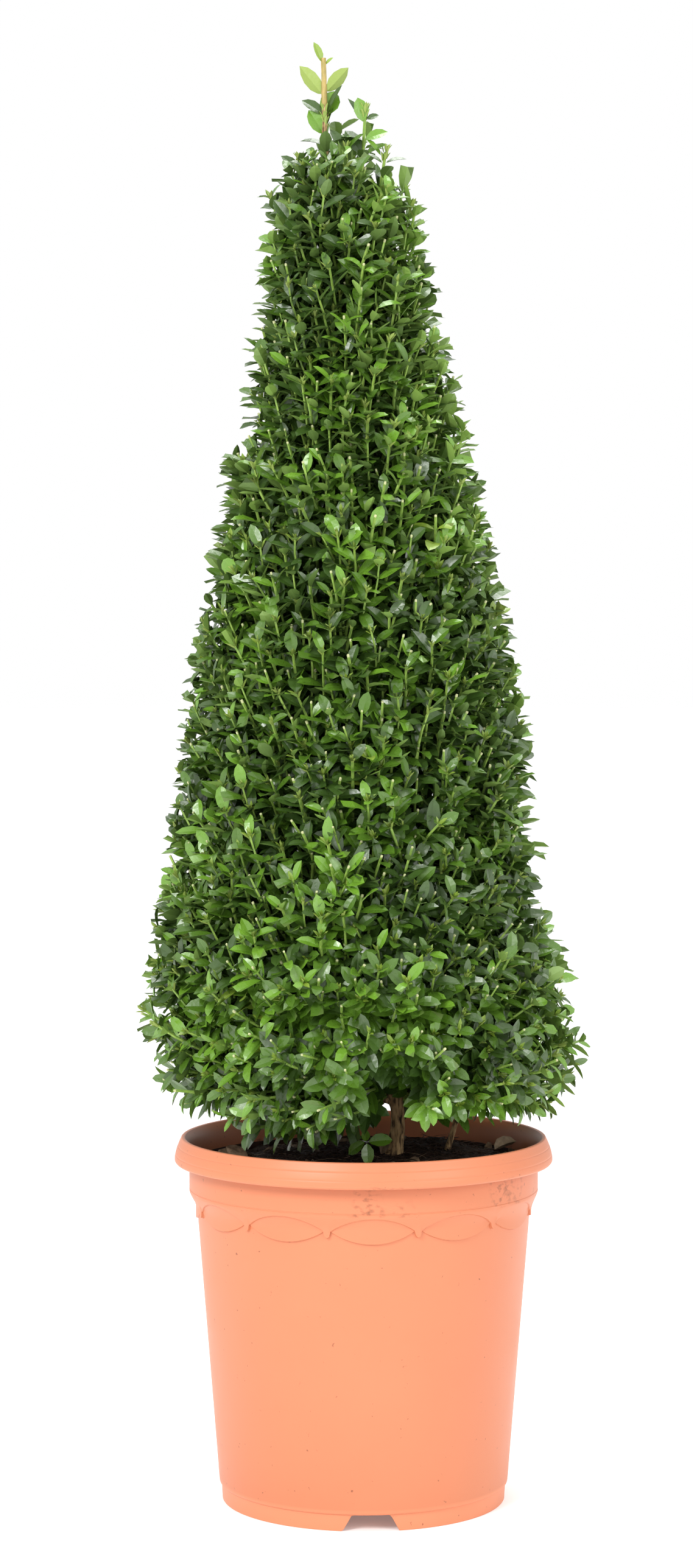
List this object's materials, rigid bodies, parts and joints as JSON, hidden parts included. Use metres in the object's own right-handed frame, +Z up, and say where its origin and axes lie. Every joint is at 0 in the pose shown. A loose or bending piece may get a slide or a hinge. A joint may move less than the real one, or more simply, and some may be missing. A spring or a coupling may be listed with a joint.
{
  "type": "potted box cone topiary",
  "caption": "Clipped evergreen box plant trimmed to a tall cone with loose lower sprays and a leafy tip, growing in a round moulded nursery pot with a rolled rim.",
  "frame": {"origin": "on the pot's axis in the plane that its foot stands on", "axes": "+Z up along the pot's axis, -Y towards the front of the plant, +X to the right seen from the front"},
  "size_m": [0.3568, 0.3363, 1.1496],
  "materials": {
    "pot": "satin moulded terracotta-orange plastic with scuffs",
    "soil": "damp dark fibrous peat compost",
    "bark": "fissured grey-brown bark",
    "foliage": "small glossy dark green leaves in dense sprays",
    "young_foliage": "soft yellow-green young leaves"
  },
  "bodies": {
    "root": {"pot": "pot", "soil": "soil", "main_stem": "bark", "side_stem": "bark", "bough_left": "bark", "bough_up_left": "bark", "bough_front_right": "bark", "bough_right": "bark", "bough_back_right": "bark", "bough_back_left": "bark", "crown_cone": "foliage", "skirt_front": "foliage", "skirt_front_right": "foliage", "skirt_right": "foliage", "skirt_back_right": "foliage", "skirt_back": "foliage", "skirt_back_left": "foliage", "skirt_left": "foliage", "skirt_front_left": "foliage", "tuft_leader": "foliage", "tuft_right": "foliage", "tuft_back": "foliage", "sprig_by_stem": "foliage", "leader_leaves": "young_foliage"}
  },
  "joints": []
}
